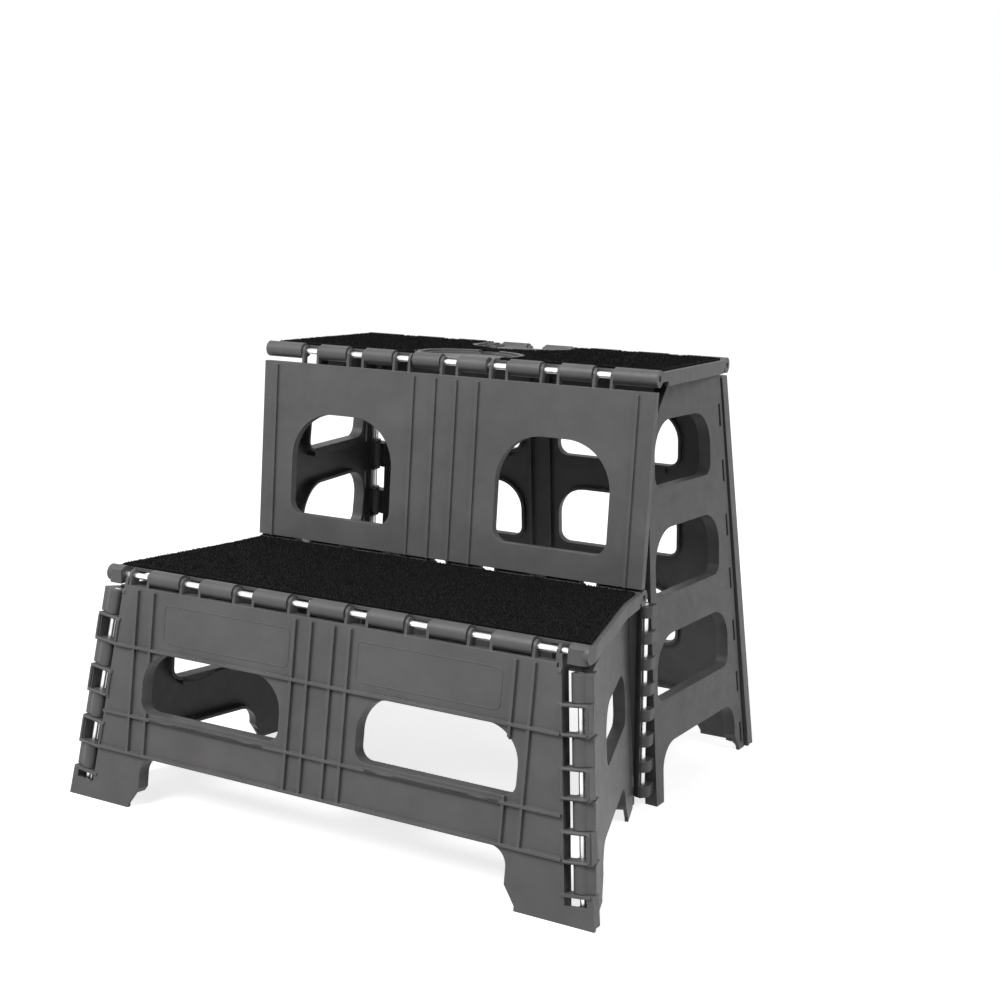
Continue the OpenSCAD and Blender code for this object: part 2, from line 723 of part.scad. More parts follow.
module back_body() {
  difference() {
    union() {
      translate([0, 0, face_off - skin_t]) linear_extrude(height = skin_t) back_outline();
      linear_extrude(height = face_off) intersection() {
        back_outline();
        union() {
          back_voids(rim_t);
          translate([-upper_half_w, -riser_top_gap - rim_t]) square([2 * upper_half_w, rim_t]);
          for (s = [-1, 1]) translate([s * back_centre_x - rim_t / 2, -back_len]) square([rim_t, back_len]);
        }
      }
      translate([-back_top_half_w + corner_in, back_v(back_band_h), face_off - skin_t])
        cube([2 * (back_top_half_w - corner_in), rib_w, skin_t + rib_h]);
      for (s = [-1, 1]) translate([s * back_centre_x - rib_w / 2, back_v(back_arch_h), face_off - skin_t])
        cube([rib_w, back_v(back_band_h) - back_v(back_arch_h), skin_t + rib_h]);
      translate([0, 0, -lug_back]) linear_extrude(height = lug_back + face_off) intersection() {
        back_outline();
        back_corner_frame() translate([outer_in, 0]) square([outer_span, rear_len]);
      }
      back_corner_frame() {
        translate([-rear_in - rim_t, 0, -wall_in]) cube([rim_t, back_len - riser_top_gap - rim_t, wall_in + face_in]);
        for (i = [0 : rear_count]) {
          z0 = i == 0 ? 0 : rear_rows[i - 1] + rear_slit / 2 + lug_t + knuckle_play;
          z1 = i == rear_count ? rear_len - riser_top_gap - face_off : rear_rows[i] - rear_slit / 2 - lug_t - knuckle_play;
          translate([0, z0, 0]) rotate([-90, 0, 0]) cylinder(d = knuckle_d, h = z1 - z0);
          translate([-rear_in, z0, -rear_back]) cube([rear_in + outer_in, z1 - z0, rear_back + face_in]);
        }
      }
      back_lugs();
    }
    translate([0, 0, -big / 2]) linear_extrude(height = big) back_voids(0);
    back_corner_frame() {
      for (z = rear_rows) translate([-rear_in, z - rear_slit / 2 - lug_t - knuckle_play, -big / 2])
        cube([rear_in + outer_in, rear_slit + 2 * (lug_t + knuckle_play), big]);
      translate([0, -cut, 0]) rotate([-90, 0, 0]) cylinder(d = bore_d, h = rear_len + big);
    }
    across(bore_d, big);
    rotate([90 + back_lean, 0, 0]) translate([0, 0, upper_h]) mirror([0, 0, 1]) under_floor();
  }
}
rear_in = 12;
rear_back = 1.6;

module back_lugs() {
  for (x = upper_xs, t = [-1, 1]) translate([x + t * upper_lug_x, 0, 0]) {
    across(2 * lug_r, lug_t);
    translate([-lug_t / 2, -riser_top_gap - rim_t, 0]) cube([lug_t, riser_top_gap + rim_t, back_lug_back]);
  }
}

module back_panel() {
  color(grey) translate([0, depth_shift + rear_top_y, upper_h]) rotate([90 + back_lean, 0, 0])
    mirror([0, 0, 1]) back_body();
}

// lower step, drawn from its front rod
kink_out = 3.5;
kink_share = 0.749; // of the lower depth
kink_x = upper_half_w + kink_out;
kink_y = lower_depth * kink_share;
lower_rear_x = upper_half_w;
skirt_z = -7.5;

module lower_plan(g) {
  y0 = edge_gap;
  y1 = lower_depth - edge_gap;
  polygon([[-lower_half_w + g, y0], [lower_half_w - g, y0], [kink_x - g, kink_y], [lower_rear_x - g, y1],
    [-lower_rear_x + g, y1], [-kink_x + g, kink_y]]);
}

module lower_tread() {
  color(grey) translate([0, depth_shift, lower_h]) difference() {
    union() {
      translate([0, 0, tread_top - tread_t]) linear_extrude(height = tread_t) lower_plan(0);
      translate([0, 0, skirt_z]) linear_extrude(height = tread_top - skirt_z) difference() {
        lower_plan(0);
        lower_plan(rim_t);
      }
      // ribs under the step
      for (x = lower_kx) translate([x - rim_t / 2, edge_gap, -web_low])
        cube([rim_t, lower_depth - 2 * edge_gap, web_low + tread_top - tread_t]);
      for (i = [1 : 3]) translate([-lower_rear_x, i * lower_depth / 4, -web_low])
        cube([2 * lower_rear_x, rim_t, web_low + tread_top - tread_t]);
      step_knuckles(lower_kx, lower_knuckle, 1);
      for (s = [-1, 1]) scale_x(s) {
        translate([lower_end_x, 0, 0]) across(knuckle_d, lower_end_len);
        translate([lower_end_in, -knuckle_r, skirt_z]) cube([lower_end_len - block_r, knuckle_r + edge_gap + rim_t, tread_top - skirt_z]);
        translate([lower_half_w - block_r, block_r - knuckle_r, skirt_z]) cylinder(r = block_r, h = tread_top - skirt_z);
        translate([lower_half_w - block_r - cut, block_r - knuckle_r, skirt_z])
          cube([block_r + cut, knuckle_r + edge_gap - block_r, tread_top - skirt_z]);
      }
      translate([0, lower_depth, 0]) step_knuckles(upper_all_kx, upper_knuckle, -1);
      for (s = [-1, 1]) translate([s * upper_end_x, lower_depth, 0]) {
        across(knuckle_d, upper_end_len);
        translate([-upper_end_len / 2, -edge_gap - rim_t, -web_low])
          cube([upper_end_len, edge_gap + rim_t, web_low + tread_top]);
      }
    }
    across(bore_d, lower_rod_len + 2 * rod_end);
    translate([0, lower_depth, 0]) across(bore_d, big);
  }
}
block_r = 6.8;

module lower_carpet() {
  color(black) translate([0, depth_shift, lower_h + tread_top]) linear_extrude(height = carpet_t)
    difference() {
      lower_plan(rim_t + carpet_in);
      translate([-big / 2, lower_depth - edge_gap - carpet_back]) square([big, big]);
    }
}
carpet_in = 1.5;
carpet_back = 3;

// upper step, drawn from its front rod
ring_w = 6;
recess_gap = 1.5;
scoop_r = 11;
floor_t = 1.8;
handle_low = -0.2;

module upper_plan(g) {
  translate([-upper_half_w + g, edge_gap]) square([2 * (upper_half_w - g), upper_depth - 2 * edge_gap]);
}

// handle outline from its rod: a neck, shoulders and a round head
module handle_plan(g) {
  translate([-neck_half_w - g, -g]) square([2 * (neck_half_w + g), handle_len / 2]);
  intersection() {
    translate([-head_half_w - g, shoulder_y - g]) square([2 * (head_half_w + g), handle_len]);
    translate([0, handle_len - head_half_w * head_share]) circle(r = head_half_w * head_share + g, $fn = 72);
  }
}
shoulder_y = 22;
head_share = 1.12;

module upper_tread() {
  color(grey) translate([0, depth_shift + riser_top_y, upper_h]) difference() {
    union() {
      translate([0, 0, tread_top - tread_t]) linear_extrude(height = tread_t) upper_plan(0);
      translate([0, 0, -web_low]) linear_extrude(height = web_low + tread_top) upper_rim();
      translate([0, 0, skirt_z]) linear_extrude(height = tread_top - skirt_z) intersection() {
        upper_rim();
        translate([-big / 2, riser_clear_y]) square([big, big]);
      }
      for (x = upper_all_kx) translate([x - rim_t / 2, under_in, -web_low])
        cube([rim_t, upper_depth - under_in - edge_gap, web_low + tread_top - tread_t]);
      for (s = [0, 1]) both_ends(s) {
        step_knuckles(upper_mid_kx, upper_knuckle, 1);
        for (t = [-1, 1]) translate([t * upper_end_x, 0, 0]) {
          across(knuckle_d, upper_end_len);
          translate([-upper_end_len / 2, 0, -web_low]) cube([upper_end_len, edge_gap + rim_t, web_low + tread_top]);
        }
        // raised ring round the handle and the floor under it
        translate([0, 0, tread_top - tread_t]) linear_extrude(height = tread_t + rib_h) intersection() {
          handle_plan(ring_w);
          upper_plan(0);
        }
        translate([0, 0, handle_low - recess_gap - floor_t]) linear_extrude(height = floor_t + recess_gap + tread_top - tread_t)
          intersection() {
            handle_plan(ring_w);
            upper_plan(0);
          }
      }
    }
    for (s = [0, 1]) both_ends(s) {
      translate([0, 0, handle_low - recess_gap]) linear_extrude(height = big) handle_plan(recess_gap);
      translate([0, handle_len, handle_low - recess_gap]) cylinder(r = scoop_r, h = big);
      across(bore_d, big);
    }
  }
}
under_in = 34;
riser_clear_y = 21;

module upper_rim() {
  difference() {
    upper_plan(0);
    upper_plan(rim_t);
  }
}

// the same drawing at the front rod, or turned to the rear rod
module both_ends(s) {
  if (s == 0) children();
  else translate([0, upper_depth, 0]) mirror([0, 1, 0]) children();
}

module upper_carpet() {
  color(black) translate([0, depth_shift + riser_top_y, upper_h + tread_top]) linear_extrude(height = carpet_t)
    difference() {
      upper_plan(rim_t + carpet_in);
      for (s = [0, 1]) both_ends(s) {
        handle_plan(ring_w + carpet_in);
        translate([0, handle_len]) circle(r = scoop_r + carpet_in);
      }
    }
}

// a handle lying in its recess, drawn from the front rod
grip_w = 50;
grip_h = 12;
grip_y = 45;

module handle_body() {
  knuckle_in = upper_zone / 2;
  knuckle_len = neck_half_w - knuckle_in;
  difference() {
    union() {
      translate([0, 0, handle_low]) linear_extrude(height = handle_t + rib_h) difference() {
        handle_plan(0);
        handle_plan(-rim_t);
      }
      translate([0, 0, handle_low]) linear_extrude(height = handle_t) handle_plan(0);
      for (s = [-1, 1]) translate([s * (knuckle_in + knuckle_len / 2), 0, 0]) across(knuckle_d, knuckle_len);
    }
    // the window in the neck
    translate([-knuckle_in, -big / 2, -big / 2]) cube([2 * knuckle_in, big / 2 + edge_gap, big]);
    across(bore_d, big);
    translate([0, handle_len + scoop_r / 2, -big / 2]) cylinder(r = scoop_r, h = big);
  }
}

module front_handle() {
  color(grey) translate([0, depth_shift + riser_top_y, upper_h]) handle_body();
}

module rear_handle() {
  color(grey) translate([0, depth_shift + rear_top_y, upper_h]) mirror([0, 1, 0]) handle_body();
}

// rods
module cross_rod(y, z, len) {
  color(steel) translate([0, depth_shift + y, z]) across(rod_d, len);
}

module rod_upper_rear() {
  cross_rod(rear_top_y, upper_h, upper_rod_len);
}

module rod_upper_front() {
  cross_rod(riser_top_y, upper_h, upper_rod_len);
}

module rod_lower_rear() {
  cross_rod(lower_depth, lower_h, upper_rod_len);
}

module rod_lower_front() {
  cross_rod(0, lower_h, lower_rod_len);
}

module rod_between(a, b, from, to) {
  ez = unit(b - a);
  ex = unit(cross([0, 1, 0], ez));
  color(steel) translate([0, depth_shift, 0]) multmatrix(frame_of(ex, cross(ez, ex), ez, a))
    translate([0, 0, from]) cylinder(d = rod_d, h = to - from);
}

module rod_front() {
  rod_between(front_foot, front_top, corner_low, corner_rows[corner_count - 1] + corner_knuckle / 2);
}

module rod_middle() {
  rod_between(mid_foot, mid_top, mid_first - rod_end, mid_first + mid_row + rod_end);
}

module rod_rear() {
  rod_between(back_foot, back_top, face_off, rear_len - riser_top_gap - face_off);
}

module rod_front_right() {
  rod_front();
}

module rod_front_left() {
  mirror([1, 0, 0]) rod_front();
}

module rod_middle_right() {
  rod_middle();
}

module rod_middle_left() {
  mirror([1, 0, 0]) rod_middle();
}

module rod_rear_right() {
  rod_rear();
}

module rod_rear_left() {
  mirror([1, 0, 0]) rod_rear();
}

module low_side_right() {
  low_side();
}

module low_side_left() {
  mirror([1, 0, 0]) low_side();
}

module tall_side_right() {
  tall_side();
}

module tall_side_left() {
  mirror([1, 0, 0]) tall_side();
}

back_panel();
tall_side_left();
tall_side_right();
upper_riser();
upper_tread();
upper_carpet();
lower_tread();
lower_carpet();
front_panel();
low_side_left();
low_side_right();
front_handle();
rear_handle();
rod_upper_rear();
rod_upper_front();
rod_lower_rear();
rod_lower_front();
rod_front_left();
rod_front_right();
rod_middle_left();
rod_middle_right();
rod_rear_left();
rod_rear_right();
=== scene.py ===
"""Finish, carpets and studio for the folding pet stairs, built around the fixed frame."""

import math

import bmesh
import bpy
from mathutils import Matrix, Vector


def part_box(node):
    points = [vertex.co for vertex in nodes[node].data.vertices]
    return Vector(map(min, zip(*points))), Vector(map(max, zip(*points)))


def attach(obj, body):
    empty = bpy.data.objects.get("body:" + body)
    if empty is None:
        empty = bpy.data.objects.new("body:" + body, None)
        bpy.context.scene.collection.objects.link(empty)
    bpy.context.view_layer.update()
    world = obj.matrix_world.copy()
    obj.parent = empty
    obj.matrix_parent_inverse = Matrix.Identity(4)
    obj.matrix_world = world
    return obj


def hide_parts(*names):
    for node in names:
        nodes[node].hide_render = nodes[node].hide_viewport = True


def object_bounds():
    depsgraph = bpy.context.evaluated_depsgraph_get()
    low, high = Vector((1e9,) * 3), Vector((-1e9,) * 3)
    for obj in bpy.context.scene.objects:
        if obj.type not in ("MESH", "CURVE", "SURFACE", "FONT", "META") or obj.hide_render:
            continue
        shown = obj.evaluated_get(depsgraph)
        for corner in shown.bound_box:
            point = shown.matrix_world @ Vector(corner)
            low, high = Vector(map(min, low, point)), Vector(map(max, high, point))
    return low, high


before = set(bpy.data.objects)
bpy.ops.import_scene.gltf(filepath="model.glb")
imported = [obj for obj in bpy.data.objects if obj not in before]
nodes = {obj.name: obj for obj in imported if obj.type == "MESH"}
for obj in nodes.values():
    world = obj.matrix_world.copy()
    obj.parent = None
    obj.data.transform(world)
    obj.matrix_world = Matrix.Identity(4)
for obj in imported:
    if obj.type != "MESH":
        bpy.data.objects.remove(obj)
cad_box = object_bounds()

MM = 0.001
SIDES = (-1, 1)
HANDS = ((1, "right"), (-1, "left"))

# finishes, linear colour
PLASTIC_GREY = (0.118, 0.114, 0.114, 1.0)
PLASTIC_DARK = (0.086, 0.083, 0.084, 1.0)
# paler edge colour: partly wear, partly a painted highlight where edges catch light
PLASTIC_WORN_AND_HIGHLIT = (0.235, 0.228, 0.226, 1.0)
CARPET_BLACK = (0.0018, 0.0017, 0.0018, 1.0)
CARPET_FLECK = (0.014, 0.0135, 0.014, 1.0)
STEEL_BRIGHT = (0.86, 0.86, 0.87, 1.0)
STEEL_DULL = (0.62, 0.62, 0.64, 1.0)
WHITE = (1.0, 1.0, 1.0, 1.0)

# A pattern is its scale per metre, detail and roughness. A span is the part of a value that counts,
# from none to all of it. A relief is a bump's strength and depth.

# moulded plastic
MOTTLE = (22.0, 4.0, 0.6)
GRAIN = (1500.0, 3.0, 0.7)
SCUFFS = (90.0, 6.0, 0.75)
SINKS = (14.0, 1.0, 0.5)
MOTTLE_SPAN = (0.35, 0.68)
# where the paler edge colour shows along edges: partly wear, partly painted highlight
RUBBED_AND_HIGHLIT_SPAN = (0.30, 0.62)
SCUFF_SPAN = (0.3, 0.7)
EDGE_SPAN = (0.995, 0.80)
SINK_RELIEF = (0.25, 2.0 * MM)
GRAIN_RELIEF = (0.35, 0.18 * MM)
EDGE_SOFT = 0.7 * MM
EDGE_SAMPLES = 4
PLASTIC_ROUGH = (0.42, 0.58)
PLASTIC_IOR = 1.49

# carpet pile
TUFT_SCALE = 620.0
PATCHES = (38.0, 5.0, 0.7)
FIBRE = (2400.0, 2.0, 0.5)
PALE_TUFT_SPAN = (0.80, 0.97)
PATCH_SPAN = (0.25, 0.75)
NAP_RELIEF = (0.8, 0.5 * MM)
CARPET_ROUGH = 0.95
CARPET_SPECULAR = 0.15
SHEEN = 0.02
SHEEN_ROUGH = 0.5

# hinge wire
DRAWING = (700.0, 4.0, 0.6)
TARNISH = (60.0, 2.0, 0.5)
TARNISH_SPAN = (0.35, 0.6)
DRAWING_RELIEF = (0.15, 0.1 * MM)
STEEL_ROUGH = (0.18, 0.42)

# carpets: node, the body and the tread that carry it, and the seed of its tufts
CARPETS = (
    ("lower_carpet", "lower_step", "lower_tread", 3),
    ("upper_carpet", "upper_step", "upper_tread", 8),
)
PILE_HEIGHT = 1.35 * MM
PILE_RADIUS = 0.7 * MM
PILE_SPACING = 1.3 * MM
PILE_DENSITY = 900000.0
PILE_LEAN = 0.55
PILE_SIZES = (0.7, 1.15)
BACKING_SINK = 0.9 * MM
EDGE_ROUND = 0.7 * MM
EDGE_STEPS = 3
# how far up a face looks to carry tufts, and to count as the carpet's top
UPWARD = 0.5
# clean-up of the slab's mesh, with the turns in radians
MERGE = 0.01 * MM
FLAT_TURN = math.radians(1.0)
SHARP_TURN = 1.0
TOP_SLACK = 0.1 * MM

# the frame's panels, as the solids have them: FACE is from the rods' plane to the outer face
FACE = 8.0 * MM
LOWER_H = 203.0 * MM
UPPER_H = 393.5 * MM
FRONT_KICK = 24.0 * MM
BACK_KICK = 48.0 * MM
REAR_ROD_Y = 376.0 * MM
FRONT_Y = cad_box[0].y + FACE * math.hypot(FRONT_KICK, LOWER_H) / LOWER_H + FRONT_KICK
REAR_Y = FRONT_Y + REAR_ROD_Y
# half widths between the corner rods, at the floor and at the top
FRONT_ROD = (247.0 * MM, 224.2 * MM)
BACK_ROD = (227.0 * MM, 191.0 * MM)
# the middle rod of a side: across and behind the lower step's front rod, and the height of its top
MID_FOOT = (201.5 * MM, 209.6 * MM)
MID_TOP = (196.0 * MM, 208.0 * MM, 180.0 * MM)
MIDDLE_FOOT = Vector((MID_FOOT[0], FRONT_Y + MID_FOOT[1], 0.0))
# how far the leaves' planes pass inside and outside of the middle rod
LOW_DROP = 16.0 * MM
TALL_PUSH = 3.0 * MM

# holes of the front and back panels: middle, height of the foot and half of the sill
FRONT_HOLE_X = 111.0 * MM
FRONT_HOLE_Z = 86.0 * MM
FRONT_SILL = 61.0 * MM
BACK_HOLE_X = 88.0 * MM
BACK_HOLE_Z = 287.0 * MM
BACK_SILL = 53.0 * MM
# each hole of a leaf: its middle across the leaf, its foot's height, half its sill
LOW_HOLES = ((132.9 * MM, 90.0 * MM, 47.2 * MM),)
TALL_HOLES = (
    (101.5 * MM, 291.0 * MM, 46.0 * MM),
    (106.6 * MM, 191.5 * MM, 55.0 * MM),
    (110.0 * MM, 95.0 * MM, 64.5 * MM),
)
# sills: how deep they reach, how far behind a panel's plane they start, and how far they stand proud
SILL_DEEP = 8.3 * MM
FRONT_BACK = 5.0 * MM
LOW_BACK = 3.0 * MM
TALL_BACK = 4.0 * MM
PROUD = 0.04 * MM
# the front panel's rib below its holes
RIB_UNDER = 5.95 * MM
RIB_W = 2.4 * MM
RIB_TALL = 3.4 * MM

# raised frames of the corner windows, which start and follow by shares of the corner's length
WINDOW_ROWS = 3
FIRST_SHARE = 0.1752
PITCH_SHARE = 0.2336
WINDOW_SHIFT = -2.5 * MM
WINDOW_FRAME = (24.4 * MM, 25.0 * MM)
WINDOW_BAND = 2.6 * MM
WINDOW_ROUND = 3.4 * MM
WINDOW_SUNK = 0.6 * MM
WINDOW_RAISED = 1.9 * MM

# plain raised borders on the front panel
BORDER_X = 99.0 * MM
BORDER_Z = 167.0 * MM
BORDER_SIZE = (132.0 * MM, 34.0 * MM)
BORDER_BAND = 0.9 * MM
BORDER_ROUND = 5.0 * MM
BORDER_RAISED = 0.35 * MM

# flange beside the middle hinge
FLANGE_FROM = 30.0 * MM
FLANGE_TO = 186.0 * MM
FLANGE_T = 1.5 * MM
FLANGE_ROOM = 0.7 * MM
COLUMN_R = 6.8 * MM

# studio
FLOOR_REACH = 30.0
FLOOR_LEVEL = -0.2 * MM
FLOOR_PAINT = (0.72, 0.72, 0.72, 1.0)
FLOOR_BOUNCE = (0.10, 0.10, 0.10, 1.0)
FLOOR_GLOW = 0.80
GLOW_FROM = 0.3
GLOW_TO = 1.6
SURROUND_LIGHT = 0.045
# lamps: name, place, width and power
LAMPS = (
    ("key_lamp", (-0.6, -2.2, 2.4), 1.5, 82.0),
    ("side_lamp", (2.3, -0.7, 2.1), 1.3, 27.0),
    ("top_lamp", (0.0, 0.3, 2.8), 1.8, 5.0),
)
LAMP_AIM = Vector((0.0, 0.0, 0.18))

# camera, from the photograph's perspective
CAMERA_AT = (0.6282, -1.1469, 0.5108)
CAMERA_YAW = -26.71
CAMERA_PITCH = 10.61
CAMERA_ROLL = 1.94
CAMERA_LENS = 51.1
CAMERA_SENSOR = 36.0
CAMERA_REACH = 100.0


class Nodes:
    """A short hand for building a node tree."""

    def __init__(self, tree):
        self.tree = tree
        tree.nodes.clear()

    def add(self, kind, values=None, **settings):
        node = self.tree.nodes.new(kind)
        for key, value in settings.items():
            setattr(node, key, value)
        for key, value in (values or {}).items():
            if isinstance(value, bpy.types.NodeSocket):
                self.tree.links.new(value, node.inputs[key])
            else:
                node.inputs[key].default_value = value
        return node


def new_material(name):
    material = bpy.data.materials.new(name)
    material.use_nodes = True
    return material, Nodes(material.node_tree)


def maths(net, operation, a, b):
    return net.add("ShaderNodeMath", {0: a, 1: b}, operation=operation).outputs[0]


def ramp(net, value, low, high, start=0.0, end=1.0, shape="LINEAR"):
    """start under low, end over high, and between them in step with the value."""
    values = {"Value": value, "From Min": low, "From Max": high, "To Min": start, "To Max": end}
    return net.add("ShaderNodeMapRange", values, interpolation_type=shape).outputs["Result"]


def noise(net, place, pattern):
    scale, detail, roughness = pattern
    values = {"Vector": place, "Scale": scale, "Detail": detail, "Roughness": roughness}
    return net.add("ShaderNodeTexNoise", values).outputs[0]


def bump(net, height, relief, under=None):
    """A surface normal with this relief, over another normal or the plain surface."""
    strength, depth = relief
    values = {"Height": height, "Strength": strength, "Distance": depth}
    if under is not None:
        values["Normal"] = under
    return net.add("ShaderNodeBump", values).outputs[0]


def mix_colour(net, share, a, b):
    node = net.add("ShaderNodeMix", data_type="RGBA")
    for socket, value in ((node.inputs[0], share), (node.inputs[6], a), (node.inputs[7], b)):
        if isinstance(value, bpy.types.NodeSocket):
            net.tree.links.new(value, socket)
        else:
            socket.default_value = value
    return node.outputs[2]


def moulded_plastic():
    """Grained grey polypropylene with soft edges, a little paler along them, partly as rubbed wear and
    partly as a painted highlight.
    """
    material, net = new_material("moulded_grey_plastic")
    place = net.add("ShaderNodeTexCoord").outputs["Object"]
    scuffs = noise(net, place, SCUFFS)
    # rounded edges, and where they are
    rounded = net.add("ShaderNodeBevel", {"Radius": EDGE_SOFT}, samples=EDGE_SAMPLES).outputs[0]
    flat = net.add("ShaderNodeNewGeometry").outputs["Normal"]
    likeness = net.add("ShaderNodeVectorMath", {0: rounded, 1: flat}, operation="DOT_PRODUCT")
    edge = ramp(net, likeness.outputs["Value"], *EDGE_SPAN)
    # edges painted paler where scuffed: partly rubbed wear, partly a painted highlight of edges catching
    # light
    rubbed_and_highlit = maths(net, "MULTIPLY", edge, ramp(net, scuffs, *RUBBED_AND_HIGHLIT_SPAN))
    mottle = ramp(net, noise(net, place, MOTTLE), *MOTTLE_SPAN)
    body = mix_colour(net, mottle, PLASTIC_DARK, PLASTIC_GREY)
    colour = mix_colour(net, rubbed_and_highlit, body, PLASTIC_WORN_AND_HIGHLIT)
    rough = ramp(net, scuffs, *SCUFF_SPAN, *PLASTIC_ROUGH)
    sunk = bump(net, noise(net, place, SINKS), SINK_RELIEF, rounded)
    tooth = bump(net, noise(net, place, GRAIN), GRAIN_RELIEF, sunk)
    shader = net.add("ShaderNodeBsdfPrincipled", {"Base Color": colour, "Roughness": rough, "Normal": tooth})
    shader.inputs["IOR"].default_value = PLASTIC_IOR
    net.add("ShaderNodeOutputMaterial", {"Surface": shader.outputs[0]})
    return material


def carpet_pile():
    """Short black needled pile with paler flecks of fibre."""
    material, net = new_material("black_carpet_pile")
    place = net.add("ShaderNodeTexCoord").outputs["Object"]
    tuft = net.add("ShaderNodeTexVoronoi", {"Vector": place, "Scale": TUFT_SCALE})
    chance = net.add("ShaderNodeSeparateColor", {"Color": tuft.outputs["Color"]}).outputs[0]
    pale = ramp(net, chance, *PALE_TUFT_SPAN)
    patches = ramp(net, noise(net, place, PATCHES), *PATCH_SPAN)
    colour = mix_colour(net, maths(net, "MULTIPLY", pale, patches), CARPET_BLACK, CARPET_FLECK)
    nap = bump(net, noise(net, place, FIBRE), NAP_RELIEF)
    shader = net.add("ShaderNodeBsdfPrincipled", {"Base Color": colour, "Normal": nap})
    shader.inputs["Roughness"].default_value = CARPET_ROUGH
    shader.inputs["Sheen Weight"].default_value = SHEEN
    shader.inputs["Sheen Roughness"].default_value = SHEEN_ROUGH
    shader.inputs["Specular IOR Level"].default_value = CARPET_SPECULAR
    net.add("ShaderNodeOutputMaterial", {"Surface": shader.outputs[0]})
    return material


def drawn_steel():
    """Bright hinge wire with fine drawing marks."""
    material, net = new_material("drawn_steel_wire")
    place = net.add("ShaderNodeTexCoord").outputs["Object"]
    marks = noise(net, place, DRAWING)
    tarnish = ramp(net, noise(net, place, TARNISH), *TARNISH_SPAN)
    colour = mix_colour(net, tarnish, STEEL_DULL, STEEL_BRIGHT)
    rough = ramp(net, marks, 0.0, 1.0, *STEEL_ROUGH)
    drawn = bump(net, marks, DRAWING_RELIEF)
    shader = net.add("ShaderNodeBsdfPrincipled", {"Base Color": colour, "Roughness": rough, "Normal": drawn})
    shader.inputs["Metallic"].default_value = 1.0
    net.add("ShaderNodeOutputMaterial", {"Surface": shader.outputs[0]})
    return material


PLASTIC = moulded_plastic()
CARPET = carpet_pile()
STEEL = drawn_steel()


def dress_nodes():
    """Gives every node of the frame its finish."""
    for name, part in nodes.items():
        if name.startswith("rod_"):
            finish = STEEL
        elif "carpet" in name:
            finish = CARPET
        else:
            finish = PLASTIC
        part.data.materials.clear()
        part.data.materials.append(finish)


def keep_piece(name, mesh, body):
    piece = bpy.data.objects.new(name, mesh)
    bpy.context.scene.collection.objects.link(piece)
    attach(piece, body)
    return piece


def keep_moulding(name, form, body):
    """Makes a finished form a piece of grey plastic."""
    bmesh.ops.recalc_face_normals(form, faces=form.faces)
    mesh = bpy.data.meshes.new(name)
    form.to_mesh(mesh)
    form.free()
    mesh.materials.append(PLASTIC)
    keep_piece(name, mesh, body)


def settle_faces(form):
    """Puts a form's faces in one fixed order, which triangulating leaves to chance."""
    form.verts.index_update()
    settled = sorted(form.faces, key=lambda face: sorted(vert.index for vert in face.verts))
    for index, face in enumerate(settled):
        face.index = index
    form.faces.sort()


def carpet_backing(node):
    """The carpet's cut outline with a rounded edge, a little lower than the pile's tips."""
    low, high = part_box(node)
    mesh = nodes[node].data.copy()
    form = bmesh.new()
    form.from_mesh(mesh)
    bmesh.ops.remove_doubles(form, verts=form.verts, dist=MERGE)
    bmesh.ops.dissolve_limit(form, angle_limit=FLAT_TURN, verts=form.verts, edges=form.edges)
    for vert in form.verts:
        if vert.co.z > high.z - TOP_SLACK:
            vert.co.z -= BACKING_SINK
    rim = [
        edge for edge in form.edges
        if all(vert.co.z > low.z + MM for vert in edge.verts) and edge.calc_face_angle(0) > SHARP_TURN
    ]
    bmesh.ops.bevel(
        form,
        geom=rim,
        offset=EDGE_ROUND,
        segments=EDGE_STEPS,
        profile=0.5,
        affect="EDGES",
        clamp_overlap=True,
    )
    bmesh.ops.triangulate(form, faces=[face for face in form.faces if len(face.verts) > 4])
    settle_faces(form)
    bmesh.ops.recalc_face_normals(form, faces=form.faces)
    form.to_mesh(mesh)
    form.free()
    mesh.materials.clear()
    mesh.materials.append(CARPET)
    return mesh


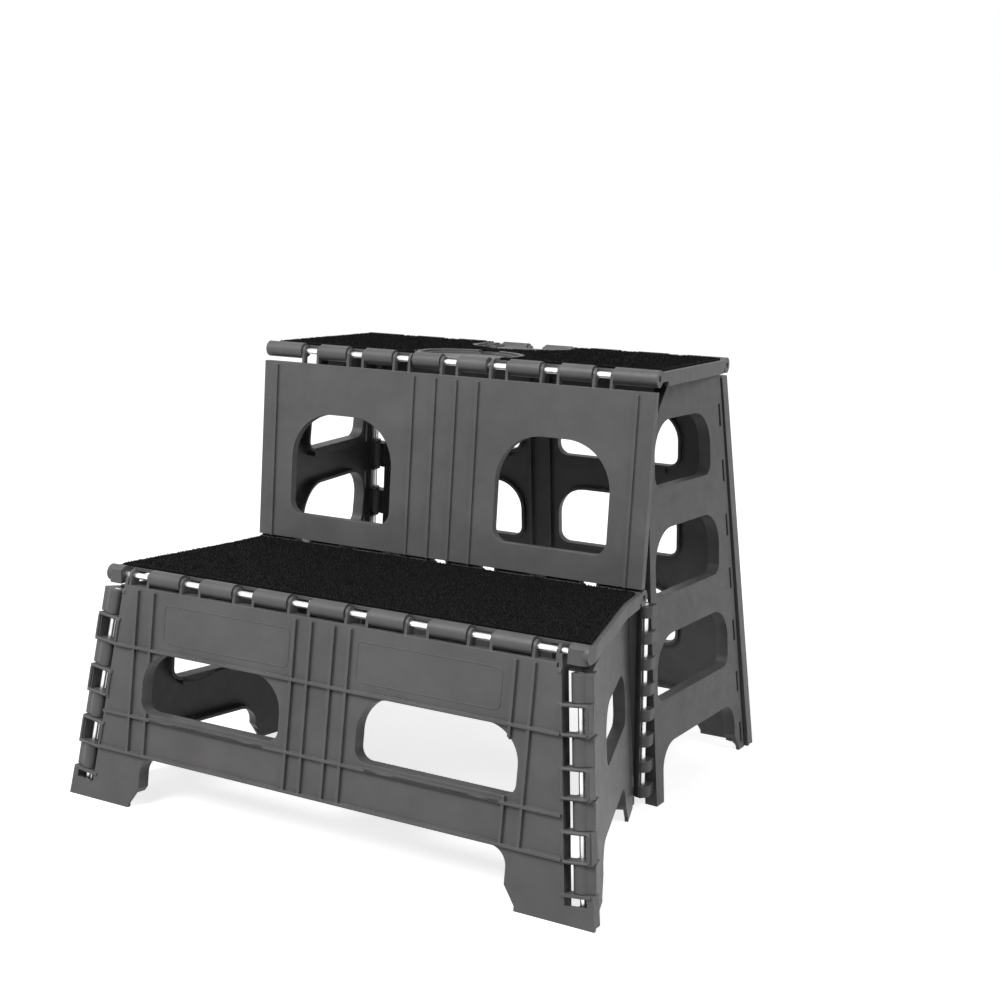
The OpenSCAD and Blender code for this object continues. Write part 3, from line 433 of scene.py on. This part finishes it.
def pile_tree():
    """Tufts scattered over a carpet's upward faces."""
    tree = bpy.data.node_groups.new("Carpet pile", "GeometryNodeTree")
    sockets = tree.interface
    sockets.new_socket("Geometry", in_out="INPUT", socket_type="NodeSocketGeometry")
    for name in ("Tuft spacing", "Tuft height", "Tuft radius"):
        sockets.new_socket(name, in_out="INPUT", socket_type="NodeSocketFloat")
    sockets.new_socket("Seed", in_out="INPUT", socket_type="NodeSocketInt")
    sockets.new_socket("Geometry", in_out="OUTPUT", socket_type="NodeSocketGeometry")
    net = Nodes(tree)
    given = net.add("NodeGroupInput").outputs
    facing = net.add("ShaderNodeSeparateXYZ", {0: net.add("GeometryNodeInputNormal").outputs[0]})
    upward = net.add("FunctionNodeCompare", {0: facing.outputs["Z"], 1: UPWARD}, operation="GREATER_THAN")
    spots = net.add(
        "GeometryNodeDistributePointsOnFaces",
        {
            "Mesh": given["Geometry"],
            "Selection": upward.outputs[0],
            "Distance Min": given["Tuft spacing"],
            "Seed": given["Seed"],
        },
        distribute_method="POISSON",
    )
    spots.inputs["Density Max"].default_value = PILE_DENSITY
    tuft = net.add(
        "GeometryNodeMeshCone",
        {
            "Vertices": 3,
            "Radius Top": 0.0,
            "Radius Bottom": given["Tuft radius"],
            "Depth": given["Tuft height"],
        },
    )
    lean = net.add("FunctionNodeRandomValue", {"Seed": given["Seed"]}, data_type="FLOAT_VECTOR")
    lean.inputs[0].default_value = (-PILE_LEAN, -PILE_LEAN, 0.0)
    lean.inputs[1].default_value = (PILE_LEAN, PILE_LEAN, math.tau)
    size = net.add("FunctionNodeRandomValue", {"Seed": given["Seed"]}, data_type="FLOAT")
    size.inputs[2].default_value, size.inputs[3].default_value = PILE_SIZES
    planted = net.add(
        "GeometryNodeInstanceOnPoints",
        {"Points": spots.outputs["Points"], "Instance": tuft.outputs["Mesh"], "Rotation": lean.outputs[0]},
    )
    net.tree.links.new(size.outputs[1], planted.inputs["Scale"])
    whole = net.add("GeometryNodeRealizeInstances", {"Geometry": planted.outputs[0]})
    finish = net.add("GeometryNodeSetMaterial", {"Geometry": whole.outputs[0], "Material": CARPET})
    net.add("NodeGroupOutput", {"Geometry": finish.outputs[0]})
    return tree


def grown(mesh, tree, inputs, name):
    """The plain mesh that a node tree makes from a mesh."""
    helper = bpy.data.objects.new(name + "_helper", mesh)
    bpy.context.scene.collection.objects.link(helper)
    modifier = helper.modifiers.new(name, "NODES")
    modifier.node_group = tree
    for item in tree.interface.items_tree:
        if item.in_out == "INPUT" and item.name in inputs:
            modifier[item.identifier] = inputs[item.name]
    bpy.context.view_layer.update()
    evaluated = helper.evaluated_get(bpy.context.evaluated_depsgraph_get())
    made = bpy.data.meshes.new_from_object(evaluated)
    made.name = name
    helper.modifiers.remove(modifier)
    bpy.data.objects.remove(helper)
    return made


def lay_carpets():
    """Each carpet's cut backing and its tufts, in the place of its plain slab."""
    tree = pile_tree()
    tuft = {"Tuft spacing": PILE_SPACING, "Tuft height": PILE_HEIGHT, "Tuft radius": PILE_RADIUS}
    for node, body, tread, seed in CARPETS:
        backing = carpet_backing(node)
        tufts = grown(backing.copy(), tree, {**tuft, "Seed": seed}, node + "_tufts")
        carpet = keep_piece(node + "_cut", backing, body)
        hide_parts(node)
        pile = keep_piece(node + "_pile", tufts, body)


def bar(form, place, axes, ends):
    """A block in a form, between two corners measured along its axes from a place."""
    low, high = ends
    corners = []
    for k in range(8):
        reach = [(high if (k >> i) & 1 else low)[i] for i in range(3)]
        corners.append(form.verts.new(place + sum((axes[i] * reach[i] for i in range(3)), Vector())))
    for face in ((0, 2, 3, 1), (4, 5, 7, 6), (0, 1, 5, 4), (2, 6, 7, 3), (0, 4, 6, 2), (1, 3, 7, 5)):
        form.faces.new([corners[k] for k in face])


def rounded_loop(width, height, radius, steps=6):
    """The corners of a rounded rectangle about the origin, as pairs."""
    loop = []
    for quarter, (sx, sy) in enumerate(((1, 1), (-1, 1), (-1, -1), (1, -1))):
        for step in range(steps + 1):
            turn = math.pi / 2 * (quarter + step / steps)
            loop.append((
                sx * (width / 2 - radius) + radius * math.cos(turn),
                sy * (height / 2 - radius) + radius * math.sin(turn),
            ))
    return loop


def ring(form, place, axes, size, band, radius, heights):
    """A raised band round a rounded rectangle, with shoulders that slope over a third of it."""
    width, height = size
    low, high = heights
    slope = min(band, high - low) / 3
    profile = (
        (0.0, low),
        (0.0, high - slope),
        (slope, high),
        (band - slope, high),
        (band, high - slope),
        (band, low),
    )
    rows = []
    for inset, level in profile:
        loop = rounded_loop(width - 2 * inset, height - 2 * inset, max(radius - inset, slope))
        rows.append([form.verts.new(place + axes[0] * x + axes[1] * y + axes[2] * level) for x, y in loop])
    count = len(rows[0])
    for a, b in zip(rows, rows[1:] + rows[:1]):
        for i in range(count):
            form.faces.new((a[i], a[(i + 1) % count], b[(i + 1) % count], b[i]))


def panel_axes(lean, height, facing):
    """A front or back panel's plane: across, up its slope, and outward."""
    up = Vector((0.0, lean, height)).normalized()
    return Vector((1.0, 0.0, 0.0)), up, Vector((0.0, facing * up.z, -facing * up.y))


def down_panel(x, y, top, axes, height):
    """The point so high above the floor, straight down a panel's slope from a point of its top edge."""
    up = axes[1]
    return Vector((x, y, top)) - up * ((top - height) / up.z)


def leaf_axes(foot, top, far):
    """A side leaf's plane: across to its far edge, up its corner rod, and outward."""
    up = (top - foot).normalized()
    across = far - foot
    across = (across - up * across.dot(up)).normalized()
    out = up.cross(across)
    return across, up, out if out.x > 0 else -out


def low_leaf():
    """The foot and the axes of the right low leaf."""
    foot = Vector((FRONT_ROD[0], FRONT_Y - FRONT_KICK, 0.0))
    top = Vector((FRONT_ROD[1], FRONT_Y, LOWER_H))
    return foot, leaf_axes(foot, top, MIDDLE_FOOT - Vector((LOW_DROP, 0.0, 0.0)))


def tall_leaf():
    """The foot and the axes of the right tall leaf."""
    foot = Vector((BACK_ROD[0], REAR_Y + BACK_KICK, 0.0))
    top = Vector((BACK_ROD[1], REAR_Y, UPPER_H))
    return foot, leaf_axes(foot, top, MIDDLE_FOOT + Vector((TALL_PUSH, 0.0, 0.0)))


def at_height(foot, axes, across, height):
    """The point of a leaf that lies so far across it and so high above the floor."""
    start = foot + axes[0] * across
    return start + axes[1] * ((height - start.z) / axes[1].z)


def level_in(axes):
    """The level direction in the plane of the first two axes, the one square to it, and outward."""
    across, _, out = axes
    level = out.cross(Vector((0.0, 0.0, 1.0))).normalized()
    if level.dot(across) < 0:
        level = -level
    rise = out.cross(level).normalized()
    if rise.z < 0:
        rise = -rise
    return level, rise, out


def sill_places():
    """For each panel: the middle of each hole's foot, its axes, and the sill's corners."""
    found = []
    # front panel and its rib under the holes
    axes = panel_axes(FRONT_KICK, LOWER_H, -1)
    sill = ((-FRONT_SILL, -SILL_DEEP, -FRONT_BACK), (FRONT_SILL, 0.0, FACE + PROUD))
    rib = ((-FRONT_SILL, -RIB_UNDER, FACE), (FRONT_SILL, RIB_W - RIB_UNDER, FACE + RIB_TALL))
    holes = []
    for side in SIDES:
        spot = down_panel(side * FRONT_HOLE_X, FRONT_Y, LOWER_H, axes, FRONT_HOLE_Z)
        holes += [(spot, axes, sill), (spot, axes, rib)]
    found.append(("front_panel", "front", holes))
    # top holes of the back panel
    axes = panel_axes(-BACK_KICK, UPPER_H, 1)
    sill = ((-BACK_SILL, -SILL_DEEP, 0.0), (BACK_SILL, 0.0, FACE + PROUD))
    holes = []
    for side in SIDES:
        spot = down_panel(side * BACK_HOLE_X, REAR_Y, UPPER_H, axes, BACK_HOLE_Z)
        holes.append((spot, axes, sill))
    found.append(("back_panel", "base", holes))
    # side leaves, the right one drawn and the left one mirrored
    leaves = (
        ("low", low_leaf(), LOW_HOLES, LOW_BACK),
        ("tall", tall_leaf(), TALL_HOLES, TALL_BACK),
    )
    for name, (foot, plane), places, back in leaves:
        for side, hand in HANDS:
            mirror = Vector((side, 1.0, 1.0))
            axes = tuple(axis * mirror for axis in level_in(plane))
            holes = []
            for across, height, half in places:
                spot = at_height(foot, plane, across, height) * mirror
                holes.append((spot, axes, ((-half, -SILL_DEEP, -back), (half, 0.0, FACE + PROUD))))
            found.append((name + "_side_" + hand, name + "_" + hand, holes))
    return found


def straighten_sills():
    """Straight sills along the feet of the holes, where the frame's outlines dip at both ends."""
    for node, body, holes in sill_places():
        form = bmesh.new()
        for place, axes, ends in holes:
            bar(form, place, axes, ends)
        keep_moulding(node + "_sills", form, body)


def frame_column_windows():
    """Raised frames round the corner windows and the plain borders moulded on the front panel."""
    panel = panel_axes(FRONT_KICK, LOWER_H, -1)
    out = panel[2]
    window_heights = (FACE - WINDOW_SUNK, FACE + WINDOW_RAISED)
    border_heights = (FACE - PROUD, FACE + BORDER_RAISED)
    form = bmesh.new()
    for side in SIDES:
        foot = Vector((side * FRONT_ROD[0], FRONT_Y - FRONT_KICK, 0.0))
        top = Vector((side * FRONT_ROD[1], FRONT_Y, LOWER_H))
        along = (top - foot).normalized()
        across = along.cross(out)
        if across.x * side < 0:
            across = -across
        length = (top - foot).length
        for row in range(WINDOW_ROWS):
            share = FIRST_SHARE + (row + 0.5) * PITCH_SHARE
            middle = foot + along * length * share + across * WINDOW_SHIFT
            axes = (across, along, out)
            ring(form, middle, axes, WINDOW_FRAME, WINDOW_BAND, WINDOW_ROUND, window_heights)
        border = down_panel(side * BORDER_X, FRONT_Y, LOWER_H, panel, BORDER_Z)
        ring(form, border, panel, BORDER_SIZE, BORDER_BAND, BORDER_ROUND, border_heights)
    keep_moulding("front_frames", form, "front")


def flange_middle_hinges():
    """A tapering flange on each tall leaf's hinge column that closes the slit beside the low leaf."""
    rod_top = Vector((MID_TOP[0], FRONT_Y + MID_TOP[1], MID_TOP[2]))
    leaf_foot, axes = low_leaf()
    across, _, out = axes
    for side, hand in HANDS:
        mirror = Vector((side, 1.0, 1.0))
        form = bmesh.new()
        rows = []
        for height in (FLANGE_FROM, FLANGE_TO):
            rod = MIDDLE_FOOT + (rod_top - MIDDLE_FOOT) * (height / MID_TOP[2])
            stand = (rod - leaf_foot).dot(out)
            seat = rod - out * COLUMN_R
            tip = rod - out * (stand - FACE - FLANGE_ROOM)
            corners = ((seat, -FLANGE_T), (seat, FLANGE_T), (tip, FLANGE_T), (tip, -FLANGE_T))
            rows.append([form.verts.new((point + across * shift) * mirror) for point, shift in corners])
        low, high = rows
        form.faces.new(low)
        form.faces.new(high)
        for i in range(4):
            form.faces.new((low[i], low[(i + 1) % 4], high[(i + 1) % 4], high[i]))
        keep_moulding("hinge_flange_" + hand, form, "tall_" + hand)


def seen_by_eye(net):
    """1 for rays that come from the camera, a gloss or a glass, else 0."""
    rays = net.add("ShaderNodeLightPath").outputs
    seen = maths(net, "MAXIMUM", rays["Is Camera Ray"], rays["Is Glossy Ray"])
    return maths(net, "MAXIMUM", seen, rays["Is Transmission Ray"])


def lay_floor():
    """A pale floor that keeps the object's shadow and meets the surround without a line."""
    mesh = bpy.data.meshes.new("studio_floor")
    signs = ((-1, -1), (1, -1), (1, 1), (-1, 1))
    corners = [(x * FLOOR_REACH, y * FLOOR_REACH, FLOOR_LEVEL) for x, y in signs]
    mesh.from_pydata(corners, [], [(0, 1, 2, 3)])
    floor = bpy.data.objects.new("studio_floor", mesh)
    bpy.context.scene.collection.objects.link(floor)
    material, net = new_material("pale_floor")
    seen = seen_by_eye(net)
    paint = net.add("ShaderNodeBsdfDiffuse", {"Color": FLOOR_PAINT})
    # the glow grows away from the object
    place = net.add("ShaderNodeTexCoord").outputs["Object"]
    away = net.add("ShaderNodeVectorMath", {0: place}, operation="LENGTH").outputs["Value"]
    strength = ramp(net, away, GLOW_FROM, GLOW_TO, FLOOR_GLOW, 1.0, "SMOOTHSTEP")
    glow = net.add("ShaderNodeEmission", {"Color": WHITE, "Strength": strength})
    lit = net.add("ShaderNodeAddShader", {0: paint.outputs[0], 1: glow.outputs[0]})
    # what the floor throws back on the object, less than what the eye sees of it
    bounce = net.add("ShaderNodeBsdfDiffuse", {"Color": FLOOR_BOUNCE})
    shader = net.add("ShaderNodeMixShader", {0: seen, 1: bounce.outputs[0], 2: lit.outputs[0]})
    net.add("ShaderNodeOutputMaterial", {"Surface": shader.outputs[0]})
    mesh.materials.append(material)


def set_surround():
    """A surround that looks white and lights the object only a little."""
    world = bpy.data.worlds.new("studio_surround")
    bpy.context.scene.world = world
    world.use_nodes = True
    net = Nodes(world.node_tree)
    level = ramp(net, seen_by_eye(net), 0.0, 1.0, SURROUND_LIGHT, 1.0)
    sky = net.add("ShaderNodeBackground", {"Color": WHITE, "Strength": level})
    net.add("ShaderNodeOutputWorld", {"Surface": sky.outputs[0]})


def hang_lamps():
    """Soft round lamps, turned to the object."""
    for name, place, width, power in LAMPS:
        light = bpy.data.lights.new(name, "AREA")
        light.shape = "DISK"
        light.size = width
        light.energy = power
        lamp = bpy.data.objects.new(name, light)
        lamp.location = place
        lamp.rotation_euler = (LAMP_AIM - Vector(place)).to_track_quat("-Z", "Y").to_euler()
        bpy.context.scene.collection.objects.link(lamp)


def set_camera():
    """The camera at the photograph's place, turned by its yaw, pitch and roll."""
    yaw, pitch, roll = (math.radians(a) for a in (CAMERA_YAW, CAMERA_PITCH, CAMERA_ROLL))
    level = Vector((math.sin(yaw), math.cos(yaw), 0.0))
    side = Vector((math.cos(yaw), -math.sin(yaw), 0.0))
    ahead = level * math.cos(pitch) - Vector((0.0, 0.0, math.sin(pitch)))
    up = level * math.sin(pitch) + Vector((0.0, 0.0, math.cos(pitch)))
    right = side * math.cos(roll) + up * math.sin(roll)
    top = up * math.cos(roll) - side * math.sin(roll)
    data = bpy.data.cameras.new("photo_camera")
    data.lens = CAMERA_LENS
    data.sensor_width = CAMERA_SENSOR
    data.clip_end = CAMERA_REACH
    camera = bpy.data.objects.new("photo_camera", data)
    turn = Matrix((right, top, -ahead)).transposed().to_4x4()
    camera.matrix_world = Matrix.Translation(CAMERA_AT) @ turn
    bpy.context.scene.collection.objects.link(camera)
    bpy.context.scene.camera = camera


dress_nodes()
lay_carpets()
straighten_sills()
frame_column_windows()
flange_middle_hinges()
lay_floor()
set_surround()
hang_lamps()
set_camera()
bpy.context.scene.view_settings.view_transform = "Standard"
